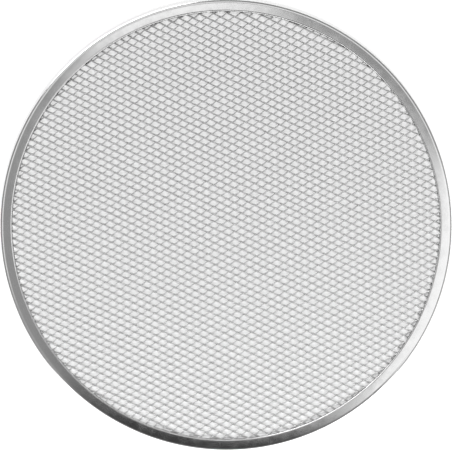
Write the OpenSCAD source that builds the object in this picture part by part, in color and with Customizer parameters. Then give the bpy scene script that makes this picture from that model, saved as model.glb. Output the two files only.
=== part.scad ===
// Pizza screen: a disc of raised expanded aluminium with a folded band round its edge.
// It lies flat: +Z is up, and the origin is at the middle of the underside.

/* [Screen] */
// Outside diameter, over the band
screen_d = 330; // [200:5:500]

/* [Band] */
// Width of the band, from its fold to its inner lips
band_w = 7.8; // [6:0.2:14]
// Height of the closed band
band_h = 3; // [2.6:0.1:4]
// Thickness of the strip that the band is folded from
strip_t = 0.5; // [0.3:0.05:0.6]
// Outer radius of the two lips that turn in and grip the mesh
lip_r = 0.8; // [0.7:0.05:1]

/* [Mesh] */
// Long way of a real diamond, knuckle to knuckle
diamond_l = 10.1; // [7:0.1:14]
// Short way of a real diamond, knuckle to knuckle
diamond_s = 5.4; // [4:0.1:8]
// Width that a real strand shows from above, along the short way
strand_seen = 1.4; // [0.7:0.05:1.5]
// Width of the sheet that each stroke of the press cuts into one row of strands
strand_w = 1.1; // [0.8:0.05:1.15]
// Real diamonds that each drawn diamond stands for, along each way
drawn = 3; // [3:1:6]

/* [Edge of the mesh] */
// Gap between the edge of the mesh and the inside of the fold
edge_gap = 1.5; // [0.8:0.1:2.5]
// How far inside the lips the strands have come down to the gap between them
press_lead = 0.3; // [0.1:0.1:2]
// Slope at which the strands come down to the lips, in degrees
press_slope = 25; // [15:1:45]

/* [Hidden] */

// Flat pieces of each arc in the band's section
lip_steps = 3;
fold_steps = 8;
// Sides of the circles in a mesh of the part; the true surfaces are round
round_sides = 96;

screen_r = screen_d / 2;
mid_z = band_h / 2;
// The band's section: where its fold turns, and where its lips start
fold_x = screen_r - band_h / 2;
lip_x = screen_r - band_w + lip_r;
lip_z = band_h - lip_r;

// The edge of the mesh is pressed to the gap between the lips
pressed_h = lip_z - lip_r;
mesh_r = screen_r - strip_t - edge_gap;
press_r = screen_r - band_w - press_lead;

// The press works in eighths of a millimetre, so that each row of strands meets the next one exactly
function eighth(size) = round(size * 8) / 8;
row_w = eighth(strand_w);
stroke = eighth(sqrt(pow(drawn * diamond_s / 2, 2) - pow(row_w, 2)));
pitch = 2 * eighth(drawn * diamond_l / 2);
// Each row sits one strand's width across and one stroke up from the last, and the whole stair is laid level
lean = atan2(stroke, row_w);
row_step = norm([row_w, stroke]);
sheet_t = eighth((drawn * strand_seen - row_w * cos(lean)) / sin(lean));
raised_h = 2 * row_w * sin(lean) + sheet_t * cos(lean);
// The last rows still cross enough of the disc to reach a knuckle
rows = floor((mesh_r - pitch * pitch / (8 * mesh_r)) / row_step);
// The strands are at full height inside this radius, with as much room again above them
raised_r = press_r - (raised_h - pressed_h / 2) / tan(press_slope);

// Points along an arc, from one angle to another
function arc(centre, r, from, to, steps) =
  [for (i = [0:steps]) let (a = from + (to - from) * i / steps) centre + r * [cos(a), sin(a)]];

// The list from its last point to its first
function turned(points) = [for (i = [len(points) - 1:-1:0]) points[i]];

// The same points below the level of the middle of the mesh
function below(points) = [for (p = points) [p[0], -p[1]]];

// One face of the strip: lip, flange, fold, flange, lip, at some depth under the outside
function band_face(depth) = concat(
  arc([lip_x, lip_z], lip_r - depth, 180, 90, lip_steps),
  arc([fold_x, mid_z], mid_z - depth, 90, -90, fold_steps),
  arc([lip_x, lip_r], lip_r - depth, -90, -180, lip_steps));

// One edge of a row of strands: a zigzag that is low and high by turns
function row_edge(half, offset) =
  [for (i = [-half:half]) [i * pitch / 2, (i % 2 == 0 ? stroke : -stroke) / 2 + offset]];

// A row of strands as it leaves the press: a zigzag strip, one strand's width deep
module strand_row(number) {
  half_chord = sqrt(pow(mesh_r, 2) - pow(number * row_step, 2));
  half = 2 * ceil(half_chord / pitch) + 1;
  translate([number % 2 == 0 ? 0 : pitch / 2, number * row_w, number * stroke])
    rotate([90, 0, 0])
      linear_extrude(row_w, center = true)
        polygon(concat(row_edge(half, sheet_t / 2), turned(row_edge(half, -sheet_t / 2))));
}

// The room that the mesh is cut and pressed to: level inside, and down to the lips' gap at its edge
module pressed_room() {
  top = [[0, raised_h], [raised_r, raised_h], [press_r, pressed_h / 2], [mesh_r, pressed_h / 2]];
  rotate_extrude($fn = round_sides)
    polygon(concat(top, turned(below(top))));
}

// The disc of the screen: one slit and stretched sheet, whose rows meet at their knuckles
module mesh() {
  color("silver")
    translate([0, 0, mid_z])
      intersection() {
        rotate([-lean, 0, 0])
          for (number = [-rows:rows]) strand_row(number);
        pressed_room();
      }
}

// The band: one strip folded over the edge of the disc and closed on it
module band() {
  color("gainsboro")
    rotate_extrude($fn = round_sides)
      polygon(concat(band_face(0), turned(band_face(strip_t))));
}

mesh();
band();
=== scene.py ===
# Pizza screen: a disc of raised expanded aluminium, gripped all round by a folded band.
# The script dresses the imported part: it makes the real mesh and the rolled band, their metals and a studio.

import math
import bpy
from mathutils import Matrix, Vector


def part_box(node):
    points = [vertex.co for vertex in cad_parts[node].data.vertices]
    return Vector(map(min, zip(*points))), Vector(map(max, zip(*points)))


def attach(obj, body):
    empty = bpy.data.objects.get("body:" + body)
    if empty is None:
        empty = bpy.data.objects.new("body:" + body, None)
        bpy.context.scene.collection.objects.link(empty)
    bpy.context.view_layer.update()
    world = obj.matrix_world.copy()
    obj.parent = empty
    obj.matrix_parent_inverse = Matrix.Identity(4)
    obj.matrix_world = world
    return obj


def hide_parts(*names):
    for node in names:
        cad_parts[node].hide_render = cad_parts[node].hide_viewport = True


bl_info = {
    "name": "Pizza screen",
    "version": (1, 0, 0),
    "blender": (4, 5, 0),
    "location": "3D View > Sidebar > Pizza screen",
    "description": "Makes the raised mesh, the folded band and the studio of a pizza screen",
    "category": "Object",
}

import bmesh
import bpy
from bpy.props import FloatProperty, FloatVectorProperty, IntProperty, PointerProperty
from mathutils import Matrix, Vector

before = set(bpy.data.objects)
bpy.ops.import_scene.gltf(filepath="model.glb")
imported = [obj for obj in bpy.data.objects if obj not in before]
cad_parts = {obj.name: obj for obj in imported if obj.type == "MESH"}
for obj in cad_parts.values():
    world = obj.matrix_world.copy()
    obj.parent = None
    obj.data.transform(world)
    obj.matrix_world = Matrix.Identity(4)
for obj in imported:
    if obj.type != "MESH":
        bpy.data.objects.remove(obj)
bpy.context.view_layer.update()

MM = 0.001

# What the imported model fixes: the disc of mesh, and the band that is folded over its edge
_, mesh_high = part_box("mesh")
band_low, band_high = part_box("band")
MESH_R = mesh_high.x
SCREEN_R = band_high.x
BAND_TOP = band_high.z
MID_Z = (band_low.z + band_high.z) / 2
HALF_H = BAND_TOP - MID_Z

# Most of what a noise texture gives lies between these
NOISE_SPAN = (0.3, 0.7)

# The room's brightness overhead, and how it changes on the way down, in degrees from overhead
ROOM_OVERHEAD = 0.31
ROOM_CHANGES = (
    {"by": 0.6, "start": 26, "end": 36},
    {"by": -0.65, "start": 42, "end": 56},
)

# The studio's soft panels, each laid over the ones before it. All but the level is in degrees: the azimuth of
# its middle, half its width, how far from overhead it starts and ends, and the softness of its edges.
STUDIO_PANELS = (
    # Broad bright panel on the right
    {"level": 1.1, "middle": -21, "half_width": 36, "near": 3, "far": 61, "soft": 6},
    # Small bright panel at the back, almost overhead
    {"level": 1.05, "middle": 101, "half_width": 26, "near": 3, "far": 24, "soft": 2},
    # Grey panels at the front left and front right, for the cut faces on each side of the disc
    {"level": 0.37, "middle": -125, "half_width": 40, "near": 30, "far": 68, "soft": 5},
    {"level": 0.25, "middle": -67, "half_width": 24, "near": 30, "far": 68, "soft": 5},
    # Bright low strip at the back left, which pales the strands that rise to the right
    {"level": 4.0, "middle": 118, "half_width": 20, "near": 68, "far": 93, "soft": 4},
    # Bright low strip at the front, brighter towards the horizon
    {"level": 1.5, "middle": -92, "half_width": 48, "near": 68, "far": 95, "soft": 5},
    {"level": 2.6, "middle": -92, "half_width": 48, "near": 74, "far": 95, "soft": 5},
    # Dark stand of the camera, at the front and overhead
    {"level": 0.045, "middle": -101, "half_width": 34, "near": 3, "far": 45, "soft": 7},
)

# The lamps' places and sizes in metres, and their powers in watts
LAMPS = (
    {"name": "key", "place": (-0.5, 0.9, 1.3), "size": 0.6, "power": 9.0},
    {"name": "fill", "place": (0.15, -0.9, 0.75), "size": 0.4, "power": 12.0},
)


def linear(code):
    """The linear colour of an sRGB hex code, without its alpha"""
    channels = [int(code[i : i + 2], 16) / 255 for i in (1, 3, 5)]
    return [c / 12.92 if c <= 0.04045 else ((c + 0.055) / 1.055) ** 2.4 for c in channels]


def length(name, description, millimetres):
    """A size that a user would change, stated in millimetres and kept in metres"""
    return FloatProperty(
        name=name, description=description, default=millimetres * MM, unit="LENGTH", precision=5
    )


def colour(name, description, code):
    return FloatVectorProperty(name=name, description=description, default=linear(code), subtype="COLOR")


def share(name, description, default):
    return FloatProperty(name=name, description=description, default=default, subtype="FACTOR")


def angle(name, description, degrees):
    return FloatProperty(
        name=name, description=description, default=math.radians(degrees), subtype="ANGLE"
    )


class MeshSizes(bpy.types.PropertyGroup):
    diamond_l: length("Diamond, long way", "Long way of a diamond, knuckle to knuckle", 10.084)
    diamond_s: length("Diamond, short way", "Short way of a diamond, knuckle to knuckle", 5.331)
    strand_w: length("Strand width", "Width of the sheet that each stroke of the press cuts off", 1.3)
    sheet_t: length("Sheet thickness", "Thickness of the sheet before it is slit", 0.85)
    knuckle_l: length("Knuckle length", "Length over which two rows of strands stay joined", 0.35)
    knuckle_skew: length("Knuckle skew", "How far a knuckle falls from its left end to its right end", 0.52)
    start_x: length("Start, long way", "Middle of the opening that is nearest the middle of the disc", 1.35)
    start_y: length("Start, short way", "Middle of the opening that is nearest the middle of the disc", 0.7)
    wander: length("Wander", "How far the stretched rows wander from their true lines", 1.0)
    wander_l: length("Wander length", "Length over which the rows wander", 110)
    unevenness: length("Unevenness", "How much the strands differ from each other", 0.25)
    pressed_h: length("Pressed height", "Height of the mesh where the band's lips grip it", 1.38)
    press_lead: length("Press lead", "How far inside the lips the mesh has come down to that height", 0.4)
    press_run: length("Press run", "Length over which the mesh comes down to that height", 4.0)
    seed: FloatProperty(name="Seed", description="Starts the rows' wander at another place", default=3.0)


class BandSizes(bpy.types.PropertyGroup):
    band_w: length("Band width", "Width of the band, from its fold to its lips", 8.7)
    strip_t: length("Strip thickness", "Thickness of the strip that the band is folded from", 0.5)
    lip_w: length("Lip width", "Width over which each lip bends down to grip the mesh", 0.8)
    lip_h: length("Lip height", "Height of the bend of each lip", 0.8)
    fold_w: length("Fold width", "Width over which the strip bends down at the outside", 3.0)
    crown: length("Crown", "How far the middle of the band stands over its edges", 0.16)
    waver: share("Waver", "How much the crown varies along the band, as a share of it", 0.25)
    around: IntProperty(name="Steps around", description="Faces of the band around the disc", default=420)


class Finishes(bpy.types.PropertyGroup):
    # The two mesh colours are one aluminium split by painted light: the rolled faces are painted darker as
    # shade, and the cut faces lighter as a highlight
    rolled_shade_colour: colour("Mesh, rolled", "Colour of the rolled faces of the mesh", "#DEDEDE")
    cut_highlight_colour: colour("Mesh, cut", "Colour of the faces where the press has cut the mesh", "#EEEEEE")
    band_colour: colour("Band", "Colour of the rolled strip", "#EDEDED")
    floor_colour: colour("Floor", "Colour of the floor", "#F8F8F8")


class StudioSizes(bpy.types.PropertyGroup):
    camera_h: length("Camera height", "Height of the camera over the screen", 560)
    view_w: length("View width", "Width of what the camera sees at the screen", 329.56)
    view_x: length("View shift", "How far right of the disc's middle the camera looks", 0.01)
    view_y: length("View rise", "How far above the disc's middle the camera looks", 0.22)
    roll: angle("Roll", "How far the long way of the diamonds is turned in the picture", 1.775)
    floor_w: length("Floor width", "Width of the floor", 8000)


class PizzaScreen(bpy.types.PropertyGroup):
    mesh: PointerProperty(type=MeshSizes)
    band: PointerProperty(type=BandSizes)
    finish: PointerProperty(type=Finishes)
    studio: PointerProperty(type=StudioSizes)


def add_node(tree, kind, inputs=(), **settings):
    """Adds a node with its settings; its inputs, in order or by name, get values, sockets or nodes"""
    node = tree.nodes.new(kind)
    for name, value in settings.items():
        setattr(node, name, value)
    given = inputs if isinstance(inputs, dict) else dict(enumerate(inputs))
    for key, value in given.items():
        source = value.outputs[0] if isinstance(value, bpy.types.Node) else value
        if isinstance(source, bpy.types.NodeSocket):
            tree.links.new(source, node.inputs[key])
        else:
            node.inputs[key].default_value = source
    return node


def new_object(name, data):
    thing = bpy.data.objects.new(name, data)
    bpy.context.scene.collection.objects.link(thing)
    return thing


def settled(thing):
    """Turns what the modifiers make of an object into its plain mesh"""
    evaluated = thing.evaluated_get(bpy.context.evaluated_depsgraph_get())
    plain = bpy.data.meshes.new_from_object(evaluated)
    thing.modifiers.clear()
    thing.data = plain


# The mesh


def row_lean(sizes):
    """Angle by which the whole stair of rows is laid level after the press"""
    return math.acos(sizes.strand_w / (sizes.diamond_s / 2))


def strand_path(sizes):
    """Places along one period of a row, as the press leaves it: a low knuckle, up, a high knuckle, down"""
    half = sizes.diamond_l / 2
    rise = sizes.strand_w * math.tan(row_lean(sizes)) / 2
    flat = sizes.knuckle_l / 2
    skew = sizes.knuckle_skew / 2
    # A strand bends softly out of each knuckle: shares of its run, and of its rise there
    bends = ((0.24, 0.17), (0.76, 0.83))

    def strand(start, end):
        return [tuple(a + (b - a) * part for a, b, part in zip(start, end, bend)) for bend in bends]

    low = [(-half - flat, skew - rise), (flat - half, -skew - rise)]
    high = [(-flat, rise + skew), (flat, rise - skew)]
    following = (half - flat, skew - rise)
    return [*low, *strand(low[1], high[0]), *high, *strand(high[1], following), following]


def strand_mesh(sizes):
    """One period of a row of strands, laid level, and open where the rows on both sides join it"""
    lean = Matrix.Rotation(-row_lean(sizes), 4, "X")
    half_w = sizes.strand_w / 2
    half_t = sizes.sheet_t / 2
    corners = ((-half_w, -half_t), (half_w, -half_t), (half_w, half_t), (-half_w, half_t))
    path = strand_path(sizes)
    low_knuckle, high_knuckle = 0, 4
    front, back = 3, 1
    build = bmesh.new()
    cut_face = build.faces.layers.float.new("cut_face")
    rings = [[build.verts.new(lean @ Vector((x, y, z + dz))) for y, dz in corners] for x, z in path]
    for i, (ring, following) in enumerate(zip(rings, rings[1:])):
        for side in range(4):
            joined = (i == low_knuckle and side == front) or (i == high_knuckle and side == back)
            if joined:
                continue
            after = (side + 1) % 4
            face = build.faces.new((ring[side], ring[after], following[after], following[side]))
            face[cut_face] = float(side in (front, back))
    data = bpy.data.meshes.new("strand")
    build.to_mesh(data)
    build.free()
    return data


def radius_of(tree):
    """Distance of a point from the disc's axis"""
    place = add_node(tree, "GeometryNodeInputPosition")
    level = add_node(tree, "ShaderNodeVectorMath", (place, (1, 1, 0)), operation="MULTIPLY")
    return add_node(tree, "ShaderNodeVectorMath", (level,), operation="LENGTH").outputs["Value"]


def row_places(tree, given):
    """A place for each period of each row, with every other row half a diamond along"""
    spans = []
    points = []
    for way in ("Long way", "Half short way"):
        steps = add_node(tree, "ShaderNodeMath", (given["Reach"], given[way]), operation="DIVIDE")
        whole = add_node(tree, "ShaderNodeMath", (steps,), operation="CEIL")
        both_ways = add_node(tree, "ShaderNodeMath", (whole, 2), operation="MULTIPLY")
        spans.append(add_node(tree, "ShaderNodeMath", (both_ways, given[way]), operation="MULTIPLY"))
        points.append(add_node(tree, "ShaderNodeMath", (both_ways, 1), operation="ADD"))
    grid = add_node(
        tree,
        "GeometryNodeMeshGrid",
        {"Size X": spans[0], "Size Y": spans[1], "Vertices X": points[0], "Vertices Y": points[1]},
    )
    position = add_node(tree, "GeometryNodeInputPosition")
    y = add_node(tree, "ShaderNodeSeparateXYZ", (position,)).outputs["Y"]
    rows_up = add_node(tree, "ShaderNodeMath", (y, given["Half short way"]), operation="DIVIDE")
    row = add_node(tree, "ShaderNodeMath", (rows_up,), operation="ROUND")
    odd = add_node(tree, "ShaderNodeMath", (row, 2), operation="FLOORED_MODULO")
    half_long = add_node(tree, "ShaderNodeMath", (given["Long way"], 0.5), operation="MULTIPLY")
    x = add_node(tree, "ShaderNodeMath", (odd, half_long, given["Start X"]), operation="MULTIPLY_ADD")
    offset = add_node(tree, "ShaderNodeCombineXYZ", (x, given["Start Y"], given["Middle"]))
    places = add_node(tree, "GeometryNodeSetPosition", {"Geometry": grid, "Offset": offset})
    beyond = add_node(tree, "ShaderNodeMath", (radius_of(tree), given["Reach"]), operation="GREATER_THAN")
    left_out = {"Geometry": places, "Selection": beyond}
    return add_node(tree, "GeometryNodeDeleteGeometry", left_out, domain="POINT")


def welded_rows(tree, given, places):
    """A strand at each place, with the rows welded where their knuckles meet"""
    strand = add_node(tree, "GeometryNodeObjectInfo", {"Object": given["Strand"]}).outputs["Geometry"]
    strands = add_node(tree, "GeometryNodeInstanceOnPoints", {"Points": places, "Instance": strand})
    real = add_node(tree, "GeometryNodeRealizeInstances", (strands,))
    weld_gap = 0.01 * MM
    return add_node(tree, "GeometryNodeMergeByDistance", {"Geometry": real, "Distance": weld_gap})


def noise_shift(tree, over, seed, amount):
    """A smooth random shift, up to about half the amount each way"""
    per_metre = add_node(tree, "ShaderNodeMath", (1.0, over), operation="DIVIDE")
    noise = add_node(
        tree, "ShaderNodeTexNoise", {"W": seed, "Scale": per_metre, "Detail": 0.0}, noise_dimensions="4D"
    )
    middle = (0.5, 0.5, 0.5)
    even = add_node(tree, "ShaderNodeVectorMath", (noise.outputs["Color"], middle), operation="SUBTRACT")
    doubled = add_node(tree, "ShaderNodeMath", (amount, 2), operation="MULTIPLY")
    return add_node(tree, "ShaderNodeVectorMath", {0: even, "Scale": doubled}, operation="SCALE")


def uneven_shift(tree, given):
    """The rows wander slowly and stay level, and each strand is a little unlike the next, mostly sideways"""
    slow = noise_shift(tree, given["Wander length"], given["Seed"], given["Wander"])
    fine_l = add_node(tree, "ShaderNodeMath", (given["Long way"], 0.9), operation="MULTIPLY")
    fine = noise_shift(tree, fine_l, given["Seed"], given["Unevenness"])
    level = add_node(tree, "ShaderNodeVectorMath", (slow, (1, 1, 0)), operation="MULTIPLY")
    flatter = add_node(tree, "ShaderNodeVectorMath", (fine, (1, 1, 0.1)), operation="MULTIPLY")
    return add_node(tree, "ShaderNodeVectorMath", (level, flatter), operation="ADD")


def pressed_position(tree, given):
    """Where the press puts each point: near the edge it squeezes the mesh towards its middle level"""
    radii = (given["Pressed radius"], given["Press run"])
    run_start = add_node(tree, "ShaderNodeMath", radii, operation="SUBTRACT")
    squeeze = add_node(
        tree,
        "ShaderNodeMapRange",
        (radius_of(tree), run_start, given["Pressed radius"], 1.0, given["Pressed share"]),
        interpolation_type="SMOOTHSTEP",
    )
    position = add_node(tree, "GeometryNodeInputPosition")
    where = add_node(tree, "ShaderNodeSeparateXYZ", (position,)).outputs
    height = add_node(tree, "ShaderNodeMath", (where["Z"], given["Middle"]), operation="SUBTRACT")
    z = add_node(tree, "ShaderNodeMath", (height, squeeze, given["Middle"]), operation="MULTIPLY_ADD")
    return add_node(tree, "ShaderNodeCombineXYZ", (where["X"], where["Y"], z))


def group_input(tree, name, kind):
    tree.interface.new_socket(name=name, in_out="INPUT", socket_type=kind)


def sheet_tree():
    """Repeats one period of a strand over the disc, welds the rows and presses the sheet at its edge"""
    tree = bpy.data.node_groups.new("Slit and stretched sheet", "GeometryNodeTree")
    group_input(tree, "Strand", "NodeSocketObject")
    for name in (
        "Long way",
        "Half short way",
        "Reach",
        "Start X",
        "Start Y",
        "Wander",
        "Wander length",
        "Unevenness",
        "Seed",
        "Middle",
        "Pressed radius",
        "Press run",
        "Pressed share",
    ):
        group_input(tree, name, "NodeSocketFloat")
    group_input(tree, "Metal", "NodeSocketMaterial")
    tree.interface.new_socket(name="Geometry", in_out="OUTPUT", socket_type="NodeSocketGeometry")
    given = add_node(tree, "NodeGroupInput").outputs

    sheet = welded_rows(tree, given, row_places(tree, given))
    moved = {"Geometry": sheet, "Offset": uneven_shift(tree, given)}
    wandered = add_node(tree, "GeometryNodeSetPosition", moved)
    pressed = {"Geometry": wandered, "Position": pressed_position(tree, given)}
    shaped = add_node(tree, "GeometryNodeSetPosition", pressed)
    metal = add_node(tree, "GeometryNodeSetMaterial", {"Geometry": shaped, "Material": given["Metal"]})
    add_node(tree, "NodeGroupOutput", (metal,))
    return tree


def set_inputs(modifier, values):
    """Sets a Geometry Nodes modifier's inputs, each by its socket's identifier"""
    for item in modifier.node_group.interface.items_tree:
        if item.item_type == "SOCKET" and item.in_out == "INPUT":
            modifier[item.identifier] = values[item.name]


def stretched_sheet(sizes, metal):
    """The whole sheet before it is cut to a disc"""
    lean = row_lean(sizes)
    raised_h = 2 * sizes.strand_w * math.sin(lean) + (sizes.sheet_t + sizes.knuckle_skew) * math.cos(lean)
    strand = new_object("strand", strand_mesh(sizes))
    sheet = new_object("raised_mesh", bpy.data.meshes.new("raised_mesh"))
    modifier = sheet.modifiers.new("Slit and stretched sheet", "NODES")
    modifier.node_group = sheet_tree()
    values = {
        "Strand": strand,
        "Long way": sizes.diamond_l,
        "Half short way": sizes.diamond_s / 2,
        "Reach": MESH_R + sizes.diamond_l,
        # The opening beside a row's high knuckle is half a diamond along and a quarter up
        "Start X": sizes.start_x - sizes.diamond_l / 2,
        "Start Y": sizes.start_y - sizes.diamond_s / 4,
        "Wander": sizes.wander,
        "Wander length": sizes.wander_l,
        "Unevenness": sizes.unevenness,
        "Seed": sizes.seed,
        "Middle": MID_Z,
        "Pressed radius": SCREEN_R - bpy.context.scene.pizza_screen.band.band_w - sizes.press_lead,
        "Press run": sizes.press_run,
        "Pressed share": sizes.pressed_h / raised_h,
        "Metal": metal,
    }
    set_inputs(modifier, values)
    settled(sheet)
    bpy.data.objects.remove(strand)
    return sheet


def close_ends(thing):
    """Closes the open ends of the strands round the sheet, so that it is one solid"""
    build = bmesh.new()
    build.from_mesh(thing.data)
    bmesh.ops.holes_fill(build, edges=[e for e in build.edges if e.is_boundary], sides=0)
    build.to_mesh(thing.data)
    build.free()


def cut_to_disc(thing, radius):
    """Cuts the sheet with a round knife"""
    knife_sides = 180
    knife_h = 20 * MM
    knife_data = bpy.data.meshes.new("knife")
    build = bmesh.new()
    bmesh.ops.create_cone(
        build, cap_ends=True, segments=knife_sides, radius1=radius, radius2=radius, depth=knife_h
    )
    build.to_mesh(knife_data)
    build.free()
    knife = new_object("knife", knife_data)
    cut = thing.modifiers.new("Knife", "BOOLEAN")
    cut.operation = "INTERSECT"
    cut.solver = "MANIFOLD"
    cut.object = knife
    settled(thing)
    bpy.data.objects.remove(knife)


class PIZZASCREEN_OT_mesh(bpy.types.Operator):
    """Makes the disc of raised expanded aluminium in place of the plain one"""

    bl_idname = "pizzascreen.mesh"
    bl_label = "Make the raised mesh"

    def execute(self, context):
        screen = context.scene.pizza_screen
        metal = stretched_aluminium(screen.finish)
        sheet = stretched_sheet(screen.mesh, metal)
        close_ends(sheet)
        cut_to_disc(sheet, MESH_R)
        sheet.data.materials.clear()
        sheet.data.materials.append(metal)
        # The edges between rolled and cut faces stay sharp
        sheet.data.shade_smooth()
        crease = math.radians(48)
        sheet.data.set_sharp_from_angle(angle=crease)
        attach(sheet, "root")
        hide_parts("mesh")
        return {"FINISHED"}


# The band


def arc(centre, width, height, start, end, steps):
    """Points along an arc that may be wider than it is high, with its angles in degrees"""
    turns = [math.radians(start + (end - start) * i / steps) for i in range(steps + 1)]
    return [(centre[0] + width * math.cos(a), centre[1] + height * math.sin(a)) for a in turns]


def band_outline(sizes):
    """Outer and inner face of the closed strip, from its top lip round the fold to its bottom lip"""
    lip_centre = (SCREEN_R - sizes.band_w + sizes.lip_w, HALF_H - sizes.lip_h)
    fold_centre = (SCREEN_R - sizes.fold_w, 0)
    flat_w = fold_centre[0] - lip_centre[0]
    lip_steps, flat_steps, fold_steps = 7, 10, 14

    def upper_face(depth):
        lip = arc(lip_centre, sizes.lip_w - depth, sizes.lip_h - depth, 180, 90, lip_steps)
        flat = [(lip_centre[0] + flat_w * i / flat_steps, HALF_H - depth) for i in range(1, flat_steps)]
        fold = arc(fold_centre, sizes.fold_w - depth, HALF_H - depth, 90, 0, fold_steps)
        return lip + flat + fold

    def whole_face(depth):
        upper = upper_face(depth)
        return upper + [(x, -z) for x, z in reversed(upper[:-1])]

    return whole_face(0), whole_face(sizes.strip_t)


def band_lowering(sizes, radius, turn):
    """How far the strip lies under its highest line: it is crowned, and the crown varies along the band"""
    # How far in from the fold the highest line lies, as a share of the band's width
    crown_share = 0.52
    crown_x = SCREEN_R - sizes.band_w * crown_share
    reach = sizes.band_w * (1 - crown_share)
    # Waves along the band: how many go round, how strong each is and where it starts
    waves = ((3, 1.0, 0.4), (7, 0.7, 1.9), (13, 0.5, 4.1))
    varied = sum(part * math.sin(count * turn + start) for count, part, start in waves)
    strongest = sum(part for _, part, _ in waves)
    crown = sizes.crown * (1 + sizes.waver * varied / strongest)
    return crown * min(1.0, abs(radius - crown_x) / reach) ** 2


def band_mesh(sizes):
    """The strip's section carried round the disc, with a UV map in metres along and across the strip"""
    outer, inner = band_outline(sizes)
    section = outer + list(reversed(inner))
    along = [0.0]
    for before, after in zip(section, section[1:] + section[:1]):
        along.append(along[-1] + math.dist(before, after))
    build = bmesh.new()
    uv_layer = build.loops.layers.uv.new("strip")
    rings = []
    for i in range(sizes.around):
        turn = 2 * math.pi * i / sizes.around
        ring = []
        for radius, z in section:
            lowered = band_lowering(sizes, radius, turn) * (1 if z > 0 else -1)
            side = min(1.0, abs(z) / (HALF_H - sizes.strip_t))
            place = (radius * math.cos(turn), radius * math.sin(turn), MID_Z + z - lowered * side)
            ring.append(build.verts.new(place))
        rings.append(ring)
    count = len(section)
    step = 2 * math.pi * SCREEN_R / sizes.around
    for i, ring in enumerate(rings):
        following = rings[(i + 1) % sizes.around]
        for j in range(count):
            after = (j + 1) % count
            face = build.faces.new((ring[j], ring[after], following[after], following[j]))
            face.smooth = True
            ends = ((i, j), (i, j + 1), (i + 1, j + 1), (i + 1, j))
            for loop, (u, v) in zip(face.loops, ends):
                loop[uv_layer].uv = (u * step, along[v])
    bmesh.ops.recalc_face_normals(build, faces=build.faces)
    data = bpy.data.meshes.new("folded_band")
    build.to_mesh(data)
    build.free()
    # The cut edges of the strip stay sharp
    crease = math.radians(40)
    data.set_sharp_from_angle(angle=crease)
    return data


class PIZZASCREEN_OT_band(bpy.types.Operator):
    """Makes the folded band, with its crown and its rolled lips, in place of the plain one"""

    bl_idname = "pizzascreen.band"
    bl_label = "Make the folded band"

    def execute(self, context):
        screen = context.scene.pizza_screen
        band = new_object("folded_band", band_mesh(screen.band))
        band.data.materials.append(rolled_aluminium(screen.finish))
        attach(band, "root")
        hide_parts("band")
        return {"FINISHED"}


# The metals


def new_material(name):
    material = bpy.data.materials.new(name)
    material.use_nodes = True
    material.node_tree.nodes.clear()
    return material, material.node_tree


def finish_material(tree, inputs):
    """Ends a material in one Principled shader"""
    shader = add_node(tree, "ShaderNodeBsdfPrincipled", inputs)
    add_node(tree, "ShaderNodeOutputMaterial", {"Surface": shader})


def stretched_aluminium(finish):
    """Expanded aluminium: the sheet's own satin face, and cut faces that the press has dragged, painted
    brighter than the rolled faces as a highlight
    """
    material, tree = new_material("Slit and stretched aluminium")
    place = add_node(tree, "ShaderNodeTexCoord").outputs["Object"]
    # Marks of the press, about 1.5 mm apart
    marks_at = {"Vector": place, "Scale": 1 / (1.5 * MM), "Detail": 3.0}
    marks = add_node(tree, "ShaderNodeTexNoise", marks_at).outputs["Fac"]
    bump = add_node(tree, "ShaderNodeBump", {"Height": marks, "Strength": 0.35, "Distance": 0.15 * MM})
    cut = add_node(tree, "ShaderNodeAttribute", attribute_name="cut_face").outputs["Fac"]
    # The cut faces take the lighter colour, a painted highlight, and the rolled faces the darker one, painted
    # shade
    colours = {0: cut, 6: [*finish.rolled_shade_colour, 1], 7: [*finish.cut_highlight_colour, 1]}
    # The satin is uneven where the press has marked it, and a cut face is a little smoother
    satin = (0.43, 0.5)
    smoother = -0.03
    rolled = add_node(tree, "ShaderNodeMapRange", (marks, *NOISE_SPAN, *satin))
    finish_material(
        tree,
        {
            "Base Color": add_node(tree, "ShaderNodeMix", colours, data_type="RGBA").outputs[2],
            "Metallic": 1.0,
            "Roughness": add_node(tree, "ShaderNodeMath", (cut, smoother, rolled), operation="MULTIPLY_ADD"),
            "Normal": bump,
        },
    )
    return material


def rolled_aluminium(finish):
    """Rolled aluminium strip: bright, with fine lines along the band from the rolls that folded it"""
    material, tree = new_material("Rolled aluminium strip")
    along = add_node(tree, "ShaderNodeUVMap", uv_map="strip")
    # Roll lines 0.25 mm apart across the strip and about 25 mm long
    per_line = (1 / (25 * MM), 1 / (0.25 * MM), 1.0)
    lines_at = add_node(tree, "ShaderNodeMapping", {"Vector": along, "Scale": per_line})
    lines = add_node(tree, "ShaderNodeTexNoise", {"Vector": lines_at, "Scale": 1.0, "Detail": 2.0})
    line_depth = {"Height": lines.outputs["Fac"], "Strength": 0.25, "Distance": 0.03 * MM}
    # Mottling from handling, about 6 mm across
    place = add_node(tree, "ShaderNodeTexCoord").outputs["Object"]
    mottle_at = {"Vector": place, "Scale": 1 / (6 * MM), "Detail": 3.0}
    mottle = add_node(tree, "ShaderNodeTexNoise", mottle_at).outputs["Fac"]
    gloss = (0.12, 0.2)
    finish_material(
        tree,
        {
            "Base Color": [*finish.band_colour, 1],
            "Metallic": 1.0,
            "Roughness": add_node(tree, "ShaderNodeMapRange", (mottle, *NOISE_SPAN, *gloss)),
            "Normal": add_node(tree, "ShaderNodeBump", line_depth),
        },
    )
    return material


# The studio


def seen_directly(tree):
    """1 for rays from the camera, a mirror or a glass, else 0"""
    path = add_node(tree, "ShaderNodeLightPath").outputs
    rays = (path["Is Camera Ray"], path["Is Glossy Ray"])
    seen = add_node(tree, "ShaderNodeMath", rays, operation="MAXIMUM")
    return add_node(tree, "ShaderNodeMath", (seen, path["Is Transmission Ray"]), operation="MAXIMUM")


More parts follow.
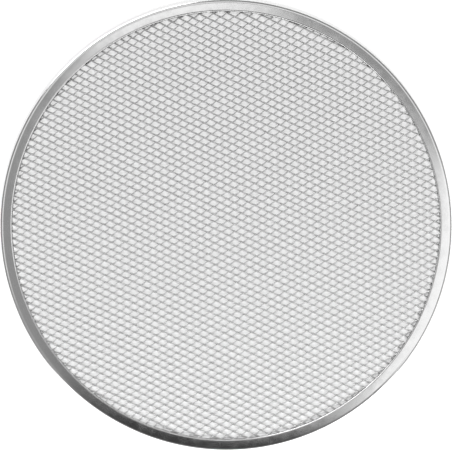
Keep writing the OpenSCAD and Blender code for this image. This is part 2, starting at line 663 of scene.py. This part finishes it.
def floor_material(finish):
    """Pale matt floor that looks near white, and still shows the object's shadow"""
    material, tree = new_material("Pale matt floor")
    matt = add_node(tree, "ShaderNodeBsdfDiffuse", {"Color": [*finish.floor_colour, 1]})
    glow = add_node(tree, "ShaderNodeEmission", {"Strength": 1.0})
    # The floor glows little beside the object, where it takes shadows, and fully from 1.4 m out
    near_share = 0.4
    near_r, far_r = 0.5, 1.4
    place = add_node(tree, "ShaderNodeTexCoord").outputs["Object"]
    away = add_node(tree, "ShaderNodeVectorMath", (place,), operation="LENGTH").outputs["Value"]
    there = add_node(
        tree, "ShaderNodeMapRange", (away, near_r, far_r, near_share, 1.0), interpolation_type="SMOOTHSTEP"
    )
    amount = add_node(tree, "ShaderNodeMath", (seen_directly(tree), there), operation="MULTIPLY")
    mixed = add_node(tree, "ShaderNodeMixShader", (amount, matt, glow))
    add_node(tree, "ShaderNodeOutputMaterial", {"Surface": mixed})
    return material


def sky_panel(tree, azimuth, off_zenith, panel):
    """Where one soft panel of the studio is: 1 on it and 0 off it"""
    middle = math.radians(panel["middle"])
    turned = add_node(tree, "ShaderNodeMath", (azimuth, middle), operation="SUBTRACT")
    wrapped = add_node(tree, "ShaderNodeMath", (turned, math.pi, -math.pi), operation="WRAP")
    aside = add_node(tree, "ShaderNodeMath", (wrapped,), operation="ABSOLUTE")
    soft = panel["soft"]
    edges = (
        (aside, panel["half_width"] + soft, panel["half_width"] - soft),
        (off_zenith, panel["near"] - soft, panel["near"] + soft),
        (off_zenith, panel["far"] + soft, panel["far"] - soft),
    )
    there = 1.0
    for value, off, on in edges:
        bounds = (value, math.radians(off), math.radians(on))
        within = add_node(tree, "ShaderNodeMapRange", bounds, interpolation_type="SMOOTHSTEP")
        there = add_node(tree, "ShaderNodeMath", (there, within), operation="MULTIPLY")
    return there


def studio_world():
    """A plain grey room with soft panels, in which the camera itself sees plain white"""
    world = bpy.data.worlds.new("Soft studio")
    bpy.context.scene.world = world
    world.use_nodes = True
    tree = world.node_tree
    tree.nodes.clear()
    direction = add_node(tree, "ShaderNodeTexCoord").outputs["Generated"]
    parts = add_node(tree, "ShaderNodeSeparateXYZ", (direction,)).outputs
    azimuth = add_node(tree, "ShaderNodeMath", (parts["Y"], parts["X"]), operation="ARCTAN2")
    off_zenith = add_node(tree, "ShaderNodeMath", (parts["Z"],), operation="ARCCOSINE")
    room = ROOM_OVERHEAD
    for change in ROOM_CHANGES:
        bounds = (off_zenith, math.radians(change["start"]), math.radians(change["end"]))
        lower = add_node(tree, "ShaderNodeMapRange", bounds, interpolation_type="SMOOTHSTEP")
        room = add_node(tree, "ShaderNodeMath", (lower, change["by"], room), operation="MULTIPLY_ADD")
    for panel in STUDIO_PANELS:
        there = sky_panel(tree, azimuth, off_zenith, panel)
        room = add_node(tree, "ShaderNodeMix", {"Factor": there, "A": room, "B": panel["level"]})
    camera = add_node(tree, "ShaderNodeLightPath").outputs["Is Camera Ray"]
    strength = add_node(tree, "ShaderNodeMix", {"Factor": camera, "A": room, "B": 1.0})
    sky = add_node(tree, "ShaderNodeBackground", {"Color": (1, 1, 1, 1), "Strength": strength})
    add_node(tree, "ShaderNodeOutputWorld", {"Surface": sky})


def soft_lamp(name, place, size, power):
    """A square soft lamp that points at the middle of the disc, and lights only what is matt"""
    data = bpy.data.lights.new(name, "AREA")
    data.shape = "SQUARE"
    data.size = size
    data.energy = power
    lamp = new_object(name, data)
    lamp.location = place
    lamp.rotation_euler = Vector(place).to_track_quat("Z", "Y").to_euler()
    lamp.visible_camera = False
    lamp.visible_glossy = False


def add_camera(studio):
    """Camera straight above the disc, turned a little against the rows of diamonds"""
    data = bpy.data.cameras.new("camera")
    data.sensor_fit = "HORIZONTAL"
    data.angle = 2 * math.atan(studio.view_w / 2 / studio.camera_h)
    camera = new_object("camera", data)
    turn = Matrix.Rotation(-studio.roll, 4, "Z")
    aim = turn @ Vector((studio.view_x, studio.view_y, 0))
    camera.location = aim + Vector((0, 0, BAND_TOP + studio.camera_h))
    camera.rotation_euler = (0, 0, -studio.roll)
    bpy.context.scene.camera = camera


class PIZZASCREEN_OT_studio(bpy.types.Operator):
    """Makes the floor, the soft light and the camera"""

    bl_idname = "pizzascreen.studio"
    bl_label = "Make the studio"

    def execute(self, context):
        screen = context.scene.pizza_screen
        floor_data = bpy.data.meshes.new("floor")
        build = bmesh.new()
        bmesh.ops.create_grid(build, x_segments=1, y_segments=1, size=screen.studio.floor_w / 2)
        build.to_mesh(floor_data)
        build.free()
        floor = new_object("floor", floor_data)
        floor.data.materials.append(floor_material(screen.finish))
        studio_world()
        for lamp in LAMPS:
            soft_lamp(**lamp)
        add_camera(screen.studio)
        context.scene.view_settings.view_transform = "Standard"
        return {"FINISHED"}


class PIZZASCREEN_PT_panel(bpy.types.Panel):
    """Lists the sizes and finishes of the pizza screen, and the steps that make it"""

    bl_label = "Pizza screen"
    bl_idname = "PIZZASCREEN_PT_panel"
    bl_space_type = "VIEW_3D"
    bl_region_type = "UI"
    bl_category = "Pizza screen"

    def draw(self, context):
        screen = context.scene.pizza_screen
        for group, operator in (
            (screen.mesh, PIZZASCREEN_OT_mesh),
            (screen.band, PIZZASCREEN_OT_band),
            (screen.studio, PIZZASCREEN_OT_studio),
        ):
            box = self.layout.box()
            for name in group.__annotations__:
                box.prop(group, name)
            box.operator(operator.bl_idname)
        for name in screen.finish.__annotations__:
            self.layout.prop(screen.finish, name)


CLASSES = (
    MeshSizes,
    BandSizes,
    Finishes,
    StudioSizes,
    PizzaScreen,
    PIZZASCREEN_OT_mesh,
    PIZZASCREEN_OT_band,
    PIZZASCREEN_OT_studio,
    PIZZASCREEN_PT_panel,
)


def register():
    for cls in CLASSES:
        bpy.utils.register_class(cls)
    bpy.types.Scene.pizza_screen = PointerProperty(type=PizzaScreen)


def unregister():
    del bpy.types.Scene.pizza_screen
    for cls in reversed(CLASSES):
        bpy.utils.unregister_class(cls)


def main():
    register()
    bpy.ops.pizzascreen.mesh()
    bpy.ops.pizzascreen.band()
    bpy.ops.pizzascreen.studio()


if __name__ == "__main__":
    main()
